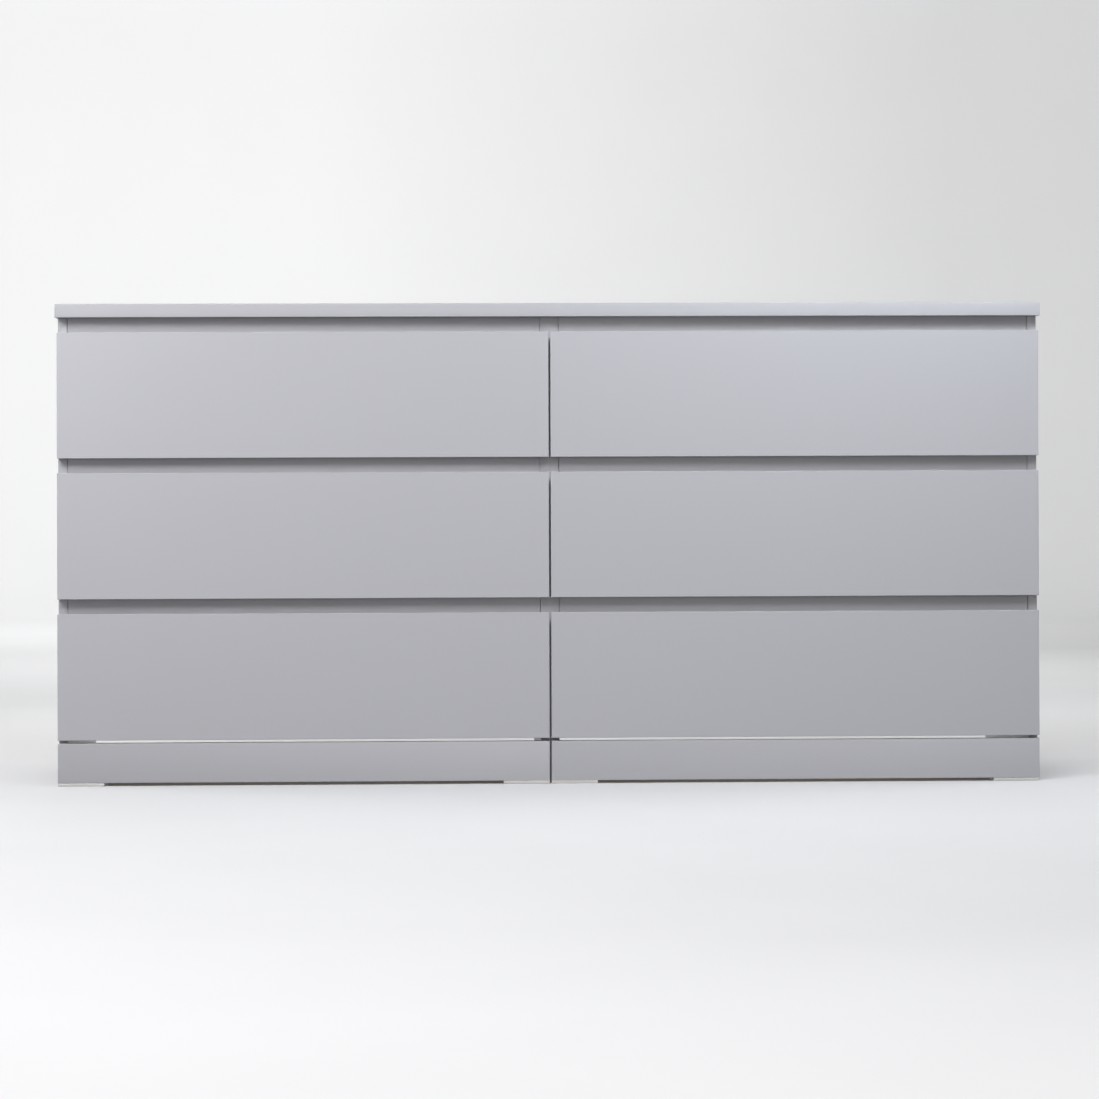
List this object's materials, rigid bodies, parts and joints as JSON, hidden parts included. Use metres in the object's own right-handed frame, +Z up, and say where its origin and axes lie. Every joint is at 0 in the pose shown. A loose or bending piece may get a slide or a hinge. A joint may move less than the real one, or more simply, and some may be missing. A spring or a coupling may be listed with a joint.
{
  "type": "dresser with drawers",
  "caption": "Low double dresser on plinths: handle-less drawers in two columns, pulled by the lips of their fronts and running on roller runners.",
  "frame": {"origin": "on the floor, under the middle of the top panel", "axes": "+X to the right as seen from the front, +Y to the back, +Z up; the drawers open towards -Y"},
  "size_m": [1.6, 0.48, 0.78],
  "materials": {
    "grey_lacquer": "satin, smooth grey lacquer",
    "white_foil": "satin, off-white foil",
    "hardboard": "matt, grey printed hardboard",
    "runner_steel": "satin, powder coated",
    "zinc": "zinc plated",
    "nylon": "matt moulded nylon",
    "pad_plastic": "matt moulded plastic"
  },
  "bodies": {
    "carcass": {"top_panel": "grey_lacquer", "left_side_panel": "grey_lacquer", "right_side_panel": "grey_lacquer", "partition": "grey_lacquer", "front_rails": "grey_lacquer", "back_panel": "hardboard", "left_plinth": "grey_lacquer", "right_plinth": "grey_lacquer", "foot_pads": "pad_plastic", "cabinet_runners": "runner_steel", "joint_fittings": "zinc", "wall_brackets": "zinc"},
    "top_left_drawer": {"top_left_front": "grey_lacquer", "top_left_left_side": "white_foil", "top_left_right_side": "white_foil", "top_left_back": "white_foil", "top_left_bottom": "white_foil", "top_left_runners": "runner_steel"},
    "top_left_rear_roller_pair": {"top_left_rear_rollers": "nylon"},
    "top_left_front_roller_pair": {"top_left_front_rollers": "nylon"},
    "top_right_drawer": {"top_right_front": "grey_lacquer", "top_right_left_side": "white_foil", "top_right_right_side": "white_foil", "top_right_back": "white_foil", "top_right_bottom": "white_foil", "top_right_runners": "runner_steel"},
    "top_right_rear_roller_pair": {"top_right_rear_rollers": "nylon"},
    "top_right_front_roller_pair": {"top_right_front_rollers": "nylon"},
    "middle_left_drawer": {"middle_left_front": "grey_lacquer", "middle_left_left_side": "white_foil", "middle_left_right_side": "white_foil", "middle_left_back": "white_foil", "middle_left_bottom": "white_foil", "middle_left_runners": "runner_steel"},
    "middle_left_rear_roller_pair": {"middle_left_rear_rollers": "nylon"},
    "middle_left_front_roller_pair": {"middle_left_front_rollers": "nylon"},
    "middle_right_drawer": {"middle_right_front": "grey_lacquer", "middle_right_left_side": "white_foil", "middle_right_right_side": "white_foil", "middle_right_back": "white_foil", "middle_right_bottom": "white_foil", "middle_right_runners": "runner_steel"},
    "middle_right_rear_roller_pair": {"middle_right_rear_rollers": "nylon"},
    "middle_right_front_roller_pair": {"middle_right_front_rollers": "nylon"},
    "bottom_left_drawer": {"bottom_left_front": "grey_lacquer", "bottom_left_left_side": "white_foil", "bottom_left_right_side": "white_foil", "bottom_left_back": "white_foil", "bottom_left_bottom": "white_foil", "bottom_left_runners": "runner_steel"},
    "bottom_left_rear_roller_pair": {"bottom_left_rear_rollers": "nylon"},
    "bottom_left_front_roller_pair": {"bottom_left_front_rollers": "nylon"},
    "bottom_right_drawer": {"bottom_right_front": "grey_lacquer", "bottom_right_left_side": "white_foil", "bottom_right_right_side": "white_foil", "bottom_right_back": "white_foil", "bottom_right_bottom": "white_foil", "bottom_right_runners": "runner_steel"},
    "bottom_right_rear_roller_pair": {"bottom_right_rear_rollers": "nylon"},
    "bottom_right_front_roller_pair": {"bottom_right_front_rollers": "nylon"}
  },
  "joints": [
    {"name": "top_left_drawer_slide", "type": "slide", "parent": "carcass", "child": "top_left_drawer", "axis": [0, -1, 0], "range_m": [0, 0.3]},
    {"name": "top_left_rear_roller_spin", "type": "hinge", "parent": "top_left_drawer", "child": "top_left_rear_roller_pair", "pos_m": [-0.3985, 0.1695, 0.5585], "axis": [1, 0, 0], "continuous": true},
    {"name": "top_left_front_roller_spin", "type": "hinge", "parent": "carcass", "child": "top_left_front_roller_pair", "pos_m": [-0.3985, -0.203, 0.56], "axis": [1, 0, 0], "continuous": true},
    {"name": "top_right_drawer_slide", "type": "slide", "parent": "carcass", "child": "top_right_drawer", "axis": [0, -1, 0], "range_m": [0, 0.3]},
    {"name": "top_right_rear_roller_spin", "type": "hinge", "parent": "top_right_drawer", "child": "top_right_rear_roller_pair", "pos_m": [0.3985, 0.1695, 0.5585], "axis": [1, 0, 0], "continuous": true},
    {"name": "top_right_front_roller_spin", "type": "hinge", "parent": "carcass", "child": "top_right_front_roller_pair", "pos_m": [0.3985, -0.203, 0.56], "axis": [1, 0, 0], "continuous": true},
    {"name": "middle_left_drawer_slide", "type": "slide", "parent": "carcass", "child": "middle_left_drawer", "axis": [0, -1, 0], "range_m": [0, 0.3]},
    {"name": "middle_left_rear_roller_spin", "type": "hinge", "parent": "middle_left_drawer", "child": "middle_left_rear_roller_pair", "pos_m": [-0.3985, 0.1695, 0.3305], "axis": [1, 0, 0], "continuous": true},
    {"name": "middle_left_front_roller_spin", "type": "hinge", "parent": "carcass", "child": "middle_left_front_roller_pair", "pos_m": [-0.3985, -0.203, 0.332], "axis": [1, 0, 0], "continuous": true},
    {"name": "middle_right_drawer_slide", "type": "slide", "parent": "carcass", "child": "middle_right_drawer", "axis": [0, -1, 0], "range_m": [0, 0.3]},
    {"name": "middle_right_rear_roller_spin", "type": "hinge", "parent": "middle_right_drawer", "child": "middle_right_rear_roller_pair", "pos_m": [0.3985, 0.1695, 0.3305], "axis": [1, 0, 0], "continuous": true},
    {"name": "middle_right_front_roller_spin", "type": "hinge", "parent": "carcass", "child": "middle_right_front_roller_pair", "pos_m": [0.3985, -0.203, 0.332], "axis": [1, 0, 0], "continuous": true},
    {"name": "bottom_left_drawer_slide", "type": "slide", "parent": "carcass", "child": "bottom_left_drawer", "axis": [0, -1, 0], "range_m": [0, 0.3]},
    {"name": "bottom_left_rear_roller_spin", "type": "hinge", "parent": "bottom_left_drawer", "child": "bottom_left_rear_roller_pair", "pos_m": [-0.3985, 0.1695, 0.1025], "axis": [1, 0, 0], "continuous": true},
    {"name": "bottom_left_front_roller_spin", "type": "hinge", "parent": "carcass", "child": "bottom_left_front_roller_pair", "pos_m": [-0.3985, -0.203, 0.104], "axis": [1, 0, 0], "continuous": true},
    {"name": "bottom_right_drawer_slide", "type": "slide", "parent": "carcass", "child": "bottom_right_drawer", "axis": [0, -1, 0], "range_m": [0, 0.3]},
    {"name": "bottom_right_rear_roller_spin", "type": "hinge", "parent": "bottom_right_drawer", "child": "bottom_right_rear_roller_pair", "pos_m": [0.3985, 0.1695, 0.1025], "axis": [1, 0, 0], "continuous": true},
    {"name": "bottom_right_front_roller_spin", "type": "hinge", "parent": "carcass", "child": "bottom_right_front_roller_pair", "pos_m": [0.3985, -0.203, 0.104], "axis": [1, 0, 0], "continuous": true}
  ],
  "couplings": [
    {"joint": "top_left_rear_roller_spin", "follows": "top_left_drawer_slide", "rad_per_m": 100},
    {"joint": "top_left_front_roller_spin", "follows": "top_left_drawer_slide", "rad_per_m": 100},
    {"joint": "top_right_rear_roller_spin", "follows": "top_right_drawer_slide", "rad_per_m": 100},
    {"joint": "top_right_front_roller_spin", "follows": "top_right_drawer_slide", "rad_per_m": 100},
    {"joint": "middle_left_rear_roller_spin", "follows": "middle_left_drawer_slide", "rad_per_m": 100},
    {"joint": "middle_left_front_roller_spin", "follows": "middle_left_drawer_slide", "rad_per_m": 100},
    {"joint": "middle_right_rear_roller_spin", "follows": "middle_right_drawer_slide", "rad_per_m": 100},
    {"joint": "middle_right_front_roller_spin", "follows": "middle_right_drawer_slide", "rad_per_m": 100},
    {"joint": "bottom_left_rear_roller_spin", "follows": "bottom_left_drawer_slide", "rad_per_m": 100},
    {"joint": "bottom_left_front_roller_spin", "follows": "bottom_left_drawer_slide", "rad_per_m": 100},
    {"joint": "bottom_right_rear_roller_spin", "follows": "bottom_right_drawer_slide", "rad_per_m": 100},
    {"joint": "bottom_right_front_roller_spin", "follows": "bottom_right_drawer_slide", "rad_per_m": 100}
  ]
}
